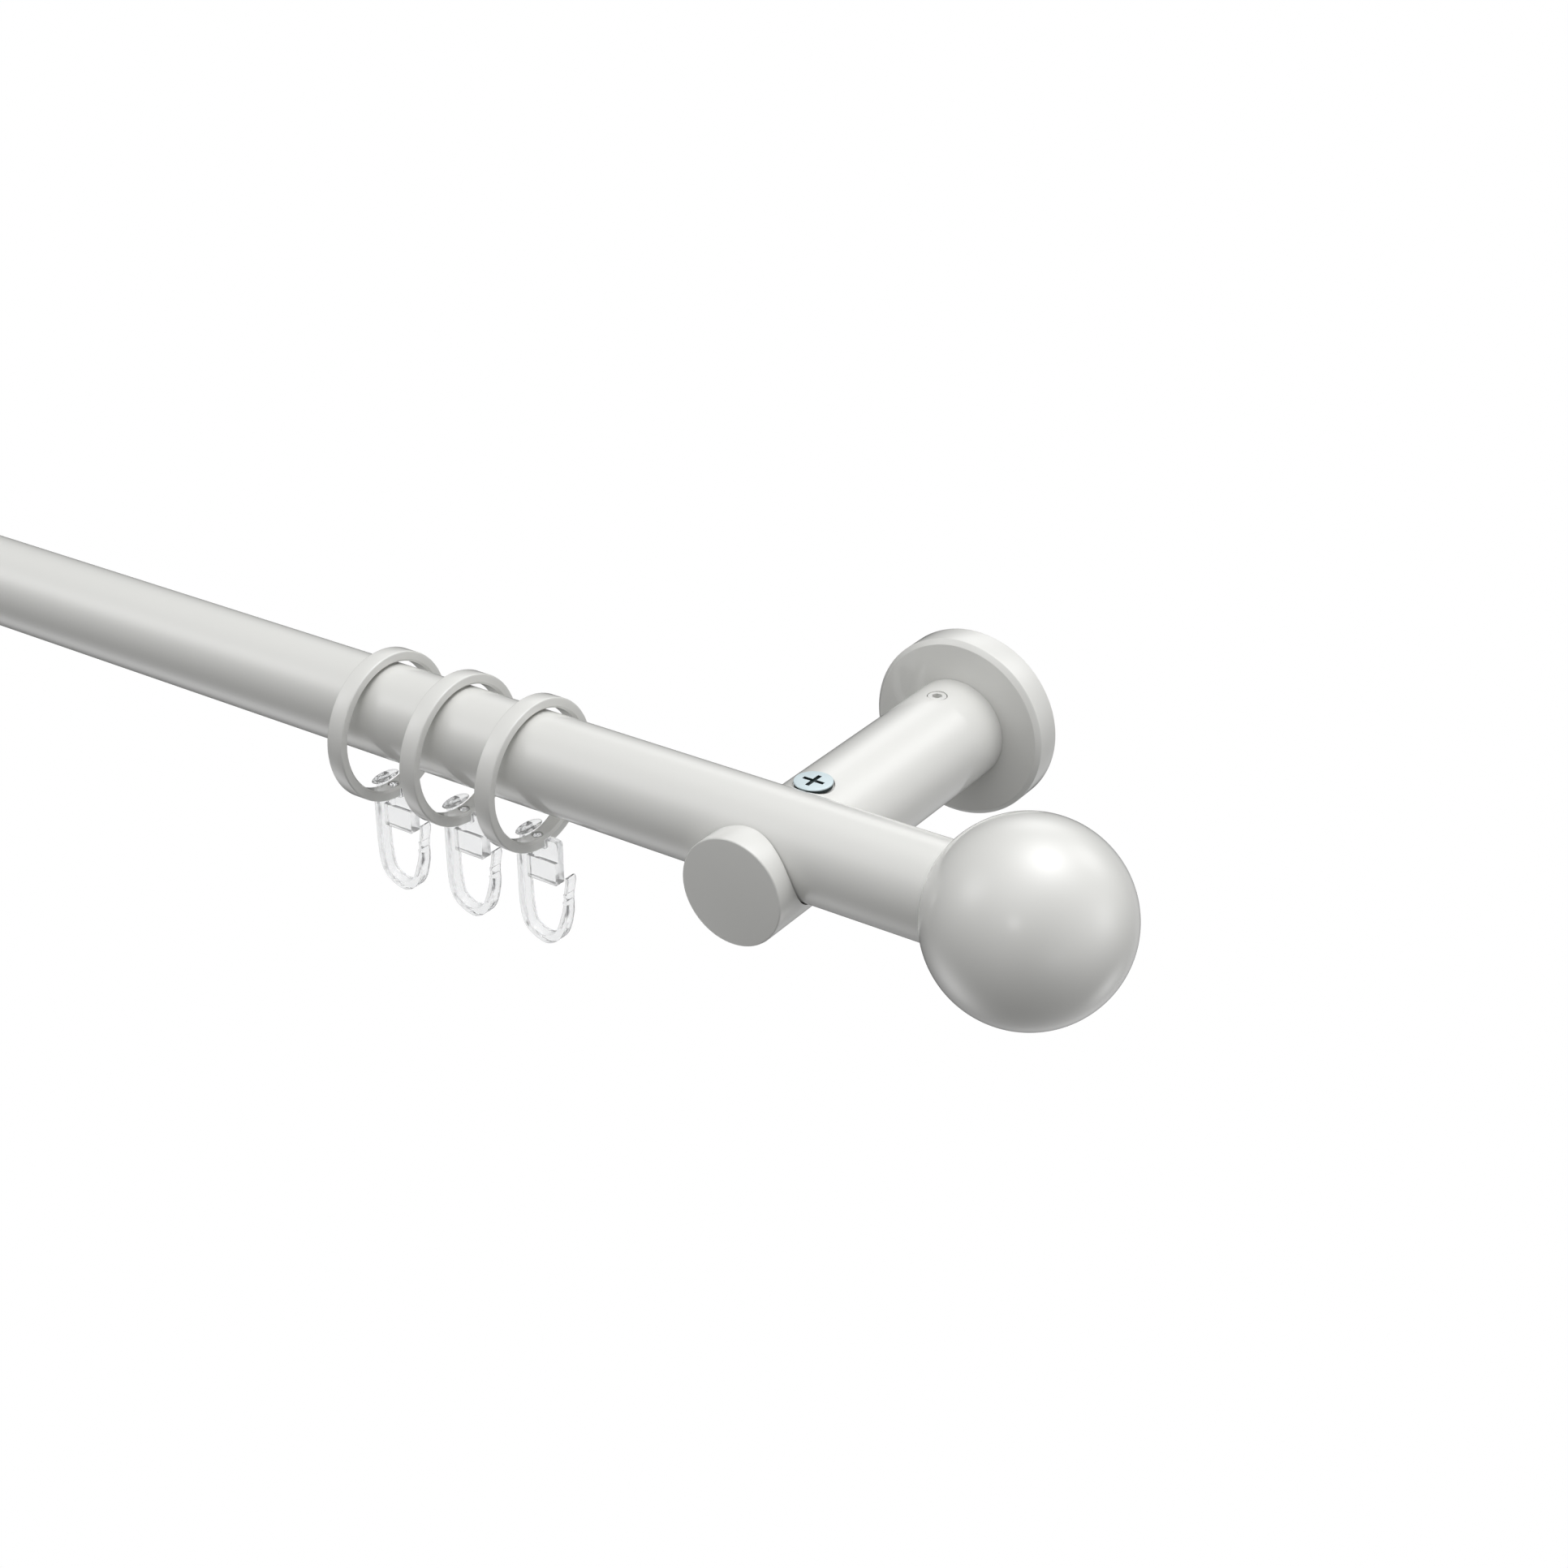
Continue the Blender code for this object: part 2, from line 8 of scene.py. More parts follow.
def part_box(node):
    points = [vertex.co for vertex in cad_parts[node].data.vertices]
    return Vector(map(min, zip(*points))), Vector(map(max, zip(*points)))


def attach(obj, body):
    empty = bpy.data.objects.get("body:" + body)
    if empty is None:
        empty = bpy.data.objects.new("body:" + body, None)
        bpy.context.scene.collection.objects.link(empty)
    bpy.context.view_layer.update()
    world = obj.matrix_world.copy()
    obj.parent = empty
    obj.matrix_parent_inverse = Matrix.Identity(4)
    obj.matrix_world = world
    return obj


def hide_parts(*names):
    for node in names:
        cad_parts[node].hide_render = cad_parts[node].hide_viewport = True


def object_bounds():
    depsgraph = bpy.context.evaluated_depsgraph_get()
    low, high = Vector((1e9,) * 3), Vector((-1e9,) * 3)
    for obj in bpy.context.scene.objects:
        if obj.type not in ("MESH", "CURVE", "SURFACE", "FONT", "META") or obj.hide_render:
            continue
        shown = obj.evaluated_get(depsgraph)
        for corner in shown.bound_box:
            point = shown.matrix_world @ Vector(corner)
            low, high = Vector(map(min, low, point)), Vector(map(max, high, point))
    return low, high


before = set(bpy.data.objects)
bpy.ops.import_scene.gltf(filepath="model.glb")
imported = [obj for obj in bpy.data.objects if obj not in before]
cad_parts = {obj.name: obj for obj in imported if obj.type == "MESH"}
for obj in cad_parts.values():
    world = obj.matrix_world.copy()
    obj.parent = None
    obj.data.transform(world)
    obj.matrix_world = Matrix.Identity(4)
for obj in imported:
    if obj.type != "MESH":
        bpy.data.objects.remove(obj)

CAD_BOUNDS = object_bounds()
RAIL = "rail"
SIDES = ("right", "left")
NUMBERS = (1, 2, 3)
SHARP_ANGLE = math.radians(35.0)

# Sizes that a node's box doesn't give, in metres
FIT_GAP = 0.0003
ROD_WALL = 0.0010
ROD_EDGE = 0.0003
ROD_END_RUN = 0.0100        # plain stretch of the profile next to each end
POST_EDGE = 0.00035
ROSETTE_CHAMFER = 0.0010
ROSETTE_SKIN = 0.0015
ROSETTE_RIM = 0.0017
ROSETTE_EDGE = 0.00025
ROSETTE_BACK_EDGE = 0.0002
SPIGOT_RADIUS = 0.0060
SPIGOT_LENGTH = 0.0270
GRUB_EDGE = 0.0002
HEX_ACROSS_FLATS = 0.0020
HEX_DEPTH = 0.0018
HEX_TURN = math.radians(34.0)
CLAMP_SHANK_RADIUS = 0.0020
CLAMP_SHANK_CHAMFER = 0.0004
CLAMP_HEAD_THICKNESS = 0.00055
# Below the head's waist the clamp screw is painted dark, as shade
CLAMP_HEAD_LIP = 0.6        # how much of the head's thickness stands above its waist
CLAMP_HEAD_EDGE = 0.00012
CLAMP_HEAD_UNDER_EDGE = 0.00005
SPOT_FACE_RADIUS = 0.0042
SPOT_FACE_DROP = 0.0008
CROSS_LENGTH = 0.0047
CROSS_WIDTH = 0.0009
CROSS_DEPTH = 0.00045
# A dark skirt under the clamp screw's head, painted shadow between the head and the post: its thickness,
# inset and edge
SHADOW_SKIRT_THICKNESS = 0.0005
SHADOW_SKIRT_INSET = 0.0001
SHADOW_SKIRT_EDGE = 0.0001
STUD_ROOM = 0.0033
STUD_ROOM_DEPTH = 0.0090
BALL_STEPS = 160
RING_WALL = 0.00225
RING_INNER_BEVEL = 0.0005
RING_OUTER_EDGE = 0.0003
RING_SOFTENING = 0.00012    # of the bevel's own corners
PEG_HOLE_RADIUS = 0.00125
FINE_SIDES = 192            # of the rod, posts, rosettes and rings
BALL_SIDES = 256

# The hook's profile: x from the ring's centre plane, heights below the rod's axis
HOOK_HALF_DEPTH = 0.0014
HOOK_EDGE = 0.00010
LEG_LEFT = -0.0047
FORK_LEFT = -0.0037
FORK_FRONT = -0.0005
FORK_RIGHT = 0.0055
FORK_GRIP = 0.00230
FORK_LEFT_TOP = 0.0165
FORK_RIGHT_TOP = 0.0182
FORK_CORNER = 0.0009
CROWN_TOP = 0.02045
CROWN_BOTTOM = 0.0225
SHOULDER_TOP = 0.0192
SHOULDER_BOTTOM = 0.0200
BLOCK_LEFT = -0.0020
BLOCK_TOP = 0.0226
BLOCK_BOTTOM = 0.0278
PEG_RADIUS = 0.0009
PEG_TOP = 0.0180
PEG_FOOT = 0.0004
HEAD_CENTRE = -0.0022
HEAD_SEMI_X = 0.0017
HEAD_SEMI_Y = 0.0038
HEAD_UNDERSIDE = 0.01685
HEAD_TOP = 0.0162
# Each step of the head's domed edge: the share of its half width, and the height above its underside
HEAD_ROUNDING = (
    (0.98, 0.0),
    (1.00, 0.00008),
    (0.98, 0.00018),
    (0.88, 0.00036),
    (0.70, 0.00052),
    (0.45, 0.00062),
)
SLIT_WIDTH = 0.0005
SLIT_PLACE = 0.0012
SLIT_RISE = 0.0007          # above the head's underside
TEETH = (0.0293, 0.0312)    # depths of the two small catches inside the arm's tip
TOOTH_HEIGHT = 0.00028
TOOTH_RUN = 0.0009
ARM_STEPS = 10
# The arm's centre line, from the leg round the bend to the out-turned tip: x, depth, thickness
ARM = (
    (-0.00378, 0.02250, 0.00185),
    (-0.00378, 0.03300, 0.00185),
    (-0.00350, 0.03670, 0.00190),
    (-0.00300, 0.03900, 0.00165),
    (-0.00195, 0.04040, 0.00150),
    (0.00000, 0.04139, 0.00165),
    (0.00210, 0.04168, 0.00175),
    (0.00410, 0.04081, 0.00175),
    (0.00555, 0.03920, 0.00165),
    (0.00635, 0.03740, 0.00160),
    (0.00685, 0.03570, 0.00150),
    (0.00732, 0.03380, 0.00125),
    (0.00755, 0.03190, 0.00090),
    (0.00765, 0.03030, 0.00065),
    (0.00785, 0.02870, 0.00065),
    (0.00815, 0.02720, 0.00072),
    (0.00828, 0.02600, 0.00075),
    (0.00815, 0.02520, 0.00055),
)

# Lacquer of the rod, brackets, balls and rings
WHITE = (0.80, 0.80, 0.775)

# Camera
CAMERA_AZIMUTH = math.radians(34.16)
CAMERA_ELEVATION = math.radians(27.977)
CAMERA_DISTANCE = 0.46455
CAMERA_TARGET = Vector((0.002157, -0.075, 0.017252))
CAMERA_LENS = 56.946        # millimetres, on a sensor 36 mm wide

# A black flag behind and below the object: azimuth and elevation in degrees, tightness and depth
FLAG = (-146.0, -28.0, 10.0, 1.0)

# How much of the plain backdrop the clear hooks see in place of the lamps
CLEAR_BACKDROP = 0.88

# Studio lights: azimuth and elevation in degrees, tightness and strength of each soft lobe
BROAD = 6
NARROW = 35
STUDIO_LIGHTS = (
    # Broad fill from above, in front, both sides and low behind
    (0, 58, BROAD, 0.7),
    (0, 0, BROAD, 0.4),
    (180, 90, BROAD, 0.4),
    (-58, 18, BROAD, 0.5),
    (90, 0, BROAD, 0.8),
    (122, 18, BROAD, 0.4),
    (-159, -30, BROAD, 0.6),
    (180, -58, BROAD, 0.5),
    # The main light, nearly overhead, with a brighter middle
    (150, 75, 12, 3.5),
    (150, 75, 40, 2.0),
    # Narrower lights that draw the long highlights on the rod and the posts
    (-55, 33, NARROW, 1.5),
    (56, -9, NARROW, 0.5),
    (115, 8, NARROW, 1.2),
    (158, 34, NARROW, 1.6),
    (-165, 28, NARROW, 0.6),
    (-150, 31, NARROW, 1.0),
    # The small glint on the ball, and two lights from below
    (11, 27, 140, 2.0),
    (-75, -50, 20, 1.3),
    (140, -45, 60, 1.0),
)
FLOOR_DROP = 0.9            # floor below the part, in metres
FLOOR_REACH = 30.0


# ---------------------------------------------------------------- shapes


def rounded(points, radii):
    """The same path with each corner that has a radius turned into an arc of four steps."""
    steps = 4
    path = []
    last = len(points) - 1
    for index, (point, radius) in enumerate(zip(points, radii)):
        if radius == 0.0 or index in (0, last):
            path.append(tuple(point))
            continue
        corner = Vector(point)
        back = (Vector(points[index - 1]) - corner).normalized()
        ahead = (Vector(points[index + 1]) - corner).normalized()
        half = back.angle(ahead) / 2
        centre = corner + (back + ahead).normalized() * radius / math.sin(half)
        start = corner + back * radius / math.tan(half) - centre
        end = corner + ahead * radius / math.tan(half) - centre
        swing = start.angle_signed(end)
        for step in range(steps + 1):
            angle = -swing * step / steps
            spoke = Matrix.Rotation(angle, 2) @ start
            path.append(tuple(centre + spoke))
    return path


def to_mesh(name, shape):
    """Turns the bmesh into a mesh with its faces outward, round faces smooth and edges sharp."""
    bmesh.ops.recalc_face_normals(shape, faces=shape.faces)
    mesh = bpy.data.meshes.new(name)
    shape.to_mesh(mesh)
    shape.free()
    mesh.shade_smooth()
    mesh.set_sharp_from_angle(angle=SHARP_ANGLE)
    return mesh


def turned(name, profile, axis, sides, closed=False, centre=(0.0, 0.0, 0.0)):
    """Spins a profile of (radius, position along the axis) once round an axis through the centre."""
    place = {
        "X": lambda radius, along: (along, 0.0, radius),
        "Y": lambda radius, along: (radius, along, 0.0),
        "Z": lambda radius, along: (radius, 0.0, along),
    }[axis]
    shape = bmesh.new()
    points = [shape.verts.new(place(radius, along)) for radius, along in profile]
    pairs = list(zip(points, points[1:]))
    if closed:
        pairs.append((points[-1], points[0]))
    edges = [shape.edges.new(pair) for pair in pairs]
    bmesh.ops.spin(
        shape,
        geom=points + edges,
        cent=(0.0, 0.0, 0.0),
        axis=Matrix.Identity(3)["XYZ".index(axis)],
        angle=math.tau,
        steps=sides,
        use_merge=True,
    )
    bmesh.ops.remove_doubles(shape, verts=shape.verts, dist=1e-7)
    bmesh.ops.translate(shape, verts=shape.verts, vec=centre)
    return to_mesh(name, shape)


def block(name, low, high):
    """A box from its low corner to its high corner."""
    shape = bmesh.new()
    size = Vector(high) - Vector(low)
    middle = (Vector(high) + Vector(low)) / 2
    bmesh.ops.create_cube(shape, size=1.0, matrix=Matrix.Translation(middle) @ Matrix.Diagonal((*size, 1.0)))
    return to_mesh(name, shape)


def upright(name, centre, radius, bottom, top, sides, turn=0.0):
    """A vertical prism or cylinder between two heights."""
    shape = bmesh.new()
    middle = Matrix.Translation((*centre, (bottom + top) / 2)) @ Matrix.Rotation(turn, 4, "Z")
    bmesh.ops.create_cone(
        shape,
        cap_ends=True,
        segments=sides,
        radius1=radius,
        radius2=radius,
        depth=top - bottom,
        matrix=middle,
    )
    return to_mesh(name, shape)


def extruded(name, outline, half_depth, edge):
    """A closed outline of (x, height) given depth, with its two rims bevelled."""
    shape = bmesh.new()
    face = shape.faces.new([shape.verts.new((x, -half_depth, height)) for x, height in outline])
    made = bmesh.ops.extrude_face_region(shape, geom=[face])["geom"]
    far = [item for item in made if isinstance(item, bmesh.types.BMVert)]
    bmesh.ops.translate(shape, verts=far, vec=(0.0, 2 * half_depth, 0.0))
    rims = [e for e in shape.edges if abs(e.verts[0].co.y - e.verts[1].co.y) < edge]
    bmesh.ops.bevel(shape, geom=rims, offset=edge, segments=2, profile=0.5, affect="EDGES")
    return to_mesh(name, shape)


def combined(mesh, operations):
    """Applies (operation, tool mesh) pairs to a mesh in turn and returns the finished mesh."""
    body = bpy.data.objects.new(mesh.name, mesh)
    bpy.context.scene.collection.objects.link(body)
    tools = []
    for operation, tool_mesh in operations:
        tool = bpy.data.objects.new(tool_mesh.name, tool_mesh)
        bpy.context.scene.collection.objects.link(tool)
        modifier = body.modifiers.new(operation.title(), "BOOLEAN")
        modifier.operation = operation
        modifier.solver = "EXACT"
        modifier.object = tool
        tools.append(tool)
    depsgraph = bpy.context.evaluated_depsgraph_get()
    result = bpy.data.meshes.new_from_object(body.evaluated_get(depsgraph))
    for obj in [body, *tools]:
        bpy.data.objects.remove(obj)
    result.name = mesh.name
    result.shade_smooth()
    result.set_sharp_from_angle(angle=SHARP_ANGLE)
    return result


def show(name, mesh, materials, body, node):
    """Links a piece that stands for a CAD node, with its materials, riding on its body."""
    if not mesh.materials:
        for material in materials:
            mesh.materials.append(material)
    piece = bpy.data.objects.new(name, mesh)
    bpy.context.scene.collection.objects.link(piece)
    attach(piece, body)
    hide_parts(node)


# ---------------------------------------------------------------- materials


def new_material(name):
    """A new material with its node tree and its shader."""
    material = bpy.data.materials.new(name)
    material.use_nodes = True
    tree = material.node_tree
    return material, tree, tree.nodes["Principled BSDF"]


def maths(tree, operation, first, second):
    """A maths node on two inputs, each a number or another node's output."""
    node = tree.nodes.new("ShaderNodeMath")
    node.operation = operation
    for socket, value in zip(node.inputs, (first, second)):
        if isinstance(value, (int, float)):
            socket.default_value = value
        else:
            tree.links.new(value, socket)
    return node.outputs[0]


def noise(tree, scale, detail=3.0, stretch=(1.0, 1.0, 1.0)):
    """Noise over the object's own coordinates, in features per metre."""
    place = tree.nodes.new("ShaderNodeTexCoord")
    mapping = tree.nodes.new("ShaderNodeMapping")
    mapping.inputs["Scale"].default_value = stretch
    texture = tree.nodes.new("ShaderNodeTexNoise")
    texture.inputs["Scale"].default_value = scale
    texture.inputs["Detail"].default_value = detail
    tree.links.new(place.outputs["Object"], mapping.inputs["Vector"])
    tree.links.new(mapping.outputs["Vector"], texture.inputs["Vector"])
    return texture.outputs["Fac"]


def remap(tree, value, low, high):
    """Noise, which stays mostly between 0.3 and 0.7, spread between two numbers."""
    node = tree.nodes.new("ShaderNodeMapRange")
    node.inputs["From Min"].default_value = 0.3
    node.inputs["From Max"].default_value = 0.7
    node.inputs["To Min"].default_value = low
    node.inputs["To Max"].default_value = high
    tree.links.new(value, node.inputs["Value"])
    return node.outputs["Result"]


def blend_colours(tree, factor, first, second):
    """A mix of two plain colours."""
    node = tree.nodes.new("ShaderNodeMix")
    node.data_type = "RGBA"
    colours = [socket for socket in node.inputs if socket.type == "RGBA"]
    for socket, colour in zip(colours, (first, second)):
        socket.default_value = (*colour, 1.0)
    tree.links.new(factor, node.inputs["Factor"])
    return next(socket for socket in node.outputs if socket.type == "RGBA")


def bump(tree, height, strength, distance):
    """A normal that follows the height, with the distance in metres."""
    node = tree.nodes.new("ShaderNodeBump")
    node.inputs["Strength"].default_value = strength
    node.inputs["Distance"].default_value = distance
    tree.links.new(height, node.inputs["Height"])
    return node.outputs["Normal"]


def lacquer(name, colour, roughness, coat, coat_roughness):
    """Lacquer: a barely uneven tone, a fine orange-peel skin and a clear coat."""
    material, tree, shader = new_material(name)
    cloud = noise(tree, 45.0, 2.0)
    dust = noise(tree, 2600.0, 4.0)
    skin = noise(tree, 700.0, 2.0)
    shaded = tuple(0.985 * part for part in colour)
    tree.links.new(blend_colours(tree, cloud, shaded, colour), shader.inputs["Base Color"])
    tree.links.new(remap(tree, dust, roughness - 0.03, roughness + 0.03), shader.inputs["Roughness"])
    tree.links.new(bump(tree, skin, 0.06, 0.00002), shader.inputs["Normal"])
    shader.inputs["Coat Weight"].default_value = coat
    shader.inputs["Coat Roughness"].default_value = coat_roughness
    return material


def plated_steel(name, colour, roughness, metallic):
    """Zinc plate: fine grain in the roughness and the tone."""
    material, tree, shader = new_material(name)
    crystals = noise(tree, 1800.0, 5.0)
    patches = noise(tree, 300.0, 2.0)
    darker = tuple(0.88 * part for part in colour)
    tree.links.new(blend_colours(tree, patches, darker, colour), shader.inputs["Base Color"])
    tree.links.new(remap(tree, crystals, roughness - 0.06, roughness + 0.08), shader.inputs["Roughness"])
    tree.links.new(bump(tree, crystals, 0.2, 0.00001), shader.inputs["Normal"])
    shader.inputs["Metallic"].default_value = metallic
    return material


def moulded(name, colour, roughness):
    """Dark moulded plastic with a fine grain; also the painted shade on the clamp screws."""
    material, tree, shader = new_material(name)
    grain = noise(tree, 1500.0, 3.0)
    darker = tuple(0.8 * part for part in colour)
    tree.links.new(blend_colours(tree, grain, darker, colour), shader.inputs["Base Color"])
    tree.links.new(remap(tree, grain, roughness - 0.05, roughness + 0.05), shader.inputs["Roughness"])
    tree.links.new(bump(tree, grain, 0.3, 0.00002), shader.inputs["Normal"])
    return material


def clear_plastic(name):
    """Moulded clear plastic with very faint flow marks."""
    material, tree, shader = new_material(name)
    flow = noise(tree, 260.0, 1.0, (1.0, 1.0, 0.4))
    tone = blend_colours(tree, flow, (0.93, 0.935, 0.94), (0.95, 0.955, 0.96))
    tree.links.new(tone, shader.inputs["Base Color"])
    tree.links.new(remap(tree, flow, 0.10, 0.13), shader.inputs["Roughness"])
    tree.links.new(bump(tree, flow, 0.02, 0.00002), shader.inputs["Normal"])
    shader.inputs["Transmission Weight"].default_value = 0.92
    shader.inputs["IOR"].default_value = 1.41
    return material


# ---------------------------------------------------------------- pieces


def middle_of(node):
    """The middle of a CAD node's box."""
    low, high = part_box(node)
    return (low + high) / 2


def rod_mesh():
    """The tube, with its ends' edges rounded."""
    low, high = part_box("rod")
    centre = (low + high) / 2
    radius = (high.y - low.y) / 2
    half = (high.x - low.x) / 2
    bore = radius - ROD_WALL
    profile = rounded(
        [
            (radius, ROD_END_RUN - half),
            (radius, -half),
            (bore, -half),
            (bore, half),
            (radius, half),
            (radius, half - ROD_END_RUN),
        ],
        [0.0, ROD_EDGE, ROD_EDGE, ROD_EDGE, ROD_EDGE, 0.0],
    )
    return turned("rod_skin", profile, "X", FINE_SIDES, closed=True, centre=centre)


def post_mesh(side):
    """A bar with a saddle for the rod, a bore for the spigot and two screw holes in its crest."""
    low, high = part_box(f"post_{side}")
    post_x = (low.x + high.x) / 2
    radius = (high.x - low.x) / 2
    front = low.y
    back = high.y + 0.8 * FIT_GAP
    bore = SPIGOT_RADIUS + FIT_GAP
    bore_end = -SPIGOT_LENGTH - FIT_GAP
    bar = turned(
        f"post_{side}_skin",
        rounded(
            [(0.0, front), (radius, front), (radius, back), (bore, back), (bore, bore_end), (0.0, bore_end)],
            [0.0, POST_EDGE, 0.0, 0.0, 0.0, 0.0],
        ),
        "Y",
        FINE_SIDES,
        centre=(post_x, 0.0, 0.0),
    )
    rod = middle_of("rod")
    rod_low, rod_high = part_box("rod")
    rod_room = (rod_high.y - rod_low.y) / 2 + FIT_GAP
    reach = 2 * radius
    saddle = turned(
        "saddle",
        [(0.0, -reach), (rod_room, -reach), (rod_room, reach), (0.0, reach)],
        "X",
        FINE_SIDES,
        centre=(post_x, rod.y, rod.z),
    )
    clamp_low, clamp_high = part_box(f"clamp_screw_{side}")
    clamp = (clamp_low + clamp_high) / 2
    seat = clamp_high.z - CLAMP_HEAD_THICKNESS - SPOT_FACE_DROP
    clamp_room = CLAMP_SHANK_RADIUS + FIT_GAP
    grub_low, grub_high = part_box(f"grub_screw_{side}")
    grub = (grub_low + grub_high) / 2
    grub_room = (grub_high.x - grub_low.x) / 2 + 0.5 * FIT_GAP
    return combined(
        bar,
        [
            ("DIFFERENCE", saddle),
            ("DIFFERENCE", upright("spot_face", (post_x, clamp.y), SPOT_FACE_RADIUS, seat, reach, 96)),
            ("DIFFERENCE", upright("clamp_hole", (post_x, clamp.y), clamp_room, clamp_low.z, reach, 48)),
            ("DIFFERENCE", upright("grub_hole", (post_x, grub.y), grub_room, 0.0, reach, 64)),
        ],
    )


def rosette_mesh(side):
    """A cup with a chamfered front edge."""
    low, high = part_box(f"rosette_{side}")
    radius = (high.x - low.x) / 2
    hole = SPIGOT_RADIUS + FIT_GAP
    inside = radius - ROSETTE_RIM
    profile = rounded(
        [
            (inside, high.y),
            (radius, high.y),
            (radius, low.y + ROSETTE_CHAMFER),
            (radius - ROSETTE_CHAMFER, low.y),
            (hole, low.y),
            (hole, low.y + ROSETTE_SKIN),
            (inside, low.y + ROSETTE_SKIN),
        ],
        [0.0, ROSETTE_BACK_EDGE, ROSETTE_EDGE, ROSETTE_EDGE, 0.0, 0.0, 0.0],
    )
    centre = ((low.x + high.x) / 2, 0.0, 0.0)
    return turned(f"rosette_{side}_skin", profile, "Y", FINE_SIDES, closed=True, centre=centre)


def grub_mesh(side):
    """A headless screw with a cone point and a hexagon socket."""
    low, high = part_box(f"grub_screw_{side}")
    radius = (high.x - low.x) / 2
    centre = (low + high) / 2
    corner = HEX_ACROSS_FLATS / 2 / math.cos(math.radians(30.0))
    screw = turned(
        f"grub_screw_{side}_skin",
        rounded(
            [
                (0.0, low.z),
                (0.6 * radius, low.z),
                (radius, low.z + 0.4 * radius),
                (radius, high.z),
                (0.0, high.z),
            ],
            [0.0, 0.0, 0.0, GRUB_EDGE, 0.0],
        ),
        "Z",
        96,
        centre=(centre.x, centre.y, 0.0),
    )
    bottom, top = high.z - HEX_DEPTH, high.z + 0.001
    socket = upright("hex_socket", (centre.x, centre.y), corner, bottom, top, 6, HEX_TURN)
    return combined(screw, [("DIFFERENCE", socket)])


def clamp_mesh(side):
    """Flat head over a dark skirt, a painted shadow under the head. The cross recess, the head below its
    waist and the skirt take the second material: painted shade, and in the recess partly the dark of the
    plating itself.
    """
    low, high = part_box(f"clamp_screw_{side}")
    radius = (high.x - low.x) / 2
    centre = (low + high) / 2
    under = high.z - CLAMP_HEAD_THICKNESS
    waist = high.z - CLAMP_HEAD_LIP * CLAMP_HEAD_THICKNESS
    shadow_skirt_under = under - SHADOW_SKIRT_THICKNESS
    shadow_skirt_radius = radius - SHADOW_SKIRT_INSET
    shank = CLAMP_SHANK_RADIUS
    screw = turned(
        f"clamp_screw_{side}_skin",
        rounded(
            [
                (0.0, low.z),
                (shank - CLAMP_SHANK_CHAMFER, low.z),
                (shank, low.z + CLAMP_SHANK_CHAMFER),
                (shank, shadow_skirt_under),
                (shadow_skirt_radius, shadow_skirt_under),
                (shadow_skirt_radius, waist),
                (radius, waist),
                (radius, high.z),
                (0.0, high.z),
            ],
            [0.0, 0.0, 0.0, 0.0, SHADOW_SKIRT_EDGE, 0.0, CLAMP_HEAD_UNDER_EDGE, CLAMP_HEAD_EDGE, 0.0],
        ),
        "Z",
        128,
        centre=(centre.x, centre.y, 0.0),
    )
    middle = Vector((centre.x, centre.y, high.z))
    half_long, half_wide = CROSS_LENGTH / 2, CROSS_WIDTH / 2
    cuts = []
    for half_x, half_y in ((half_long, half_wide), (half_wide, half_long)):
        reach = Vector((half_x, half_y, CROSS_DEPTH))
        cuts.append(("DIFFERENCE", block("cross_cut", middle - reach, middle + reach)))
    mesh = combined(screw, cuts)
    slack = 0.00001
    # Painted shade: the cross recess, the head below its waist, the skirt and the shank take the dark second
    # material
    for face in mesh.polygons:
        offset = face.center - middle
        across, along = sorted((abs(offset.x), abs(offset.y)))
        below_face = offset.z < -5 * slack
        in_cross = below_face and along < half_long + slack and across < half_wide + slack
        if in_cross or face.center.z < waist + slack:
            face.material_index = 1
    return mesh


def ball_mesh(side):
    """The ball, its socket for the rod's end and the narrower socket for the stud."""
    low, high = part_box(f"finial_ball_{side}")
    outward = 1.0 if side == "right" else -1.0
    radius = (high.y - low.y) / 2
    centre_x = (high.x - radius) if side == "right" else (low.x + radius)
    rod_low, rod_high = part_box("rod")
    rod_end = abs((rod_high.x if side == "right" else rod_low.x) - centre_x)
    socket = (rod_high.y - rod_low.y) / 2 + 0.3 * FIT_GAP
    mouth = math.pi - math.asin(socket / radius)
    floor = -rod_end + FIT_GAP
    deep = floor + STUD_ROOM_DEPTH
    angles = [mouth * (1 - step / BALL_STEPS) for step in range(BALL_STEPS)]
    skin = [(radius * math.sin(angle), radius * math.cos(angle)) for angle in angles]
    profile = [(0.0, deep), (STUD_ROOM, deep), (STUD_ROOM, floor), (socket, floor), *skin, (0.0, radius)]
    profile = [(r, outward * along) for r, along in profile]
    centre = (centre_x, (low.y + high.y) / 2, (low.z + high.z) / 2)
    return turned(f"finial_ball_{side}_skin", profile, "X", BALL_SIDES, centre=centre)


def ring_mesh(node):
    """A ring with bevelled inner edges, pierced at the bottom."""
    low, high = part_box(node)
    centre = (low + high) / 2
    half = (high.x - low.x) / 2
    radius = (high.y - low.y) / 2
    bore = radius - RING_WALL
    bevel = RING_INNER_BEVEL
    soft, edge = RING_SOFTENING, RING_OUTER_EDGE
    hoop = turned(
        f"{node}_skin",
        rounded(
            [
                (bore, 0.0),
                (bore, bevel - half),
                (bore + bevel, -half),
                (radius, -half),
                (radius, half),
                (bore + bevel, half),
                (bore, half - bevel),
            ],
            [0.0, soft, soft, edge, edge, soft, soft],
        ),
        "X",
        FINE_SIDES,
        closed=True,
        centre=centre,
    )
    hole = upright("peg_hole", (centre.x, centre.y), PEG_HOLE_RADIUS, low.z - half, centre.z, 48)
    return combined(hoop, [("DIFFERENCE", hole)])


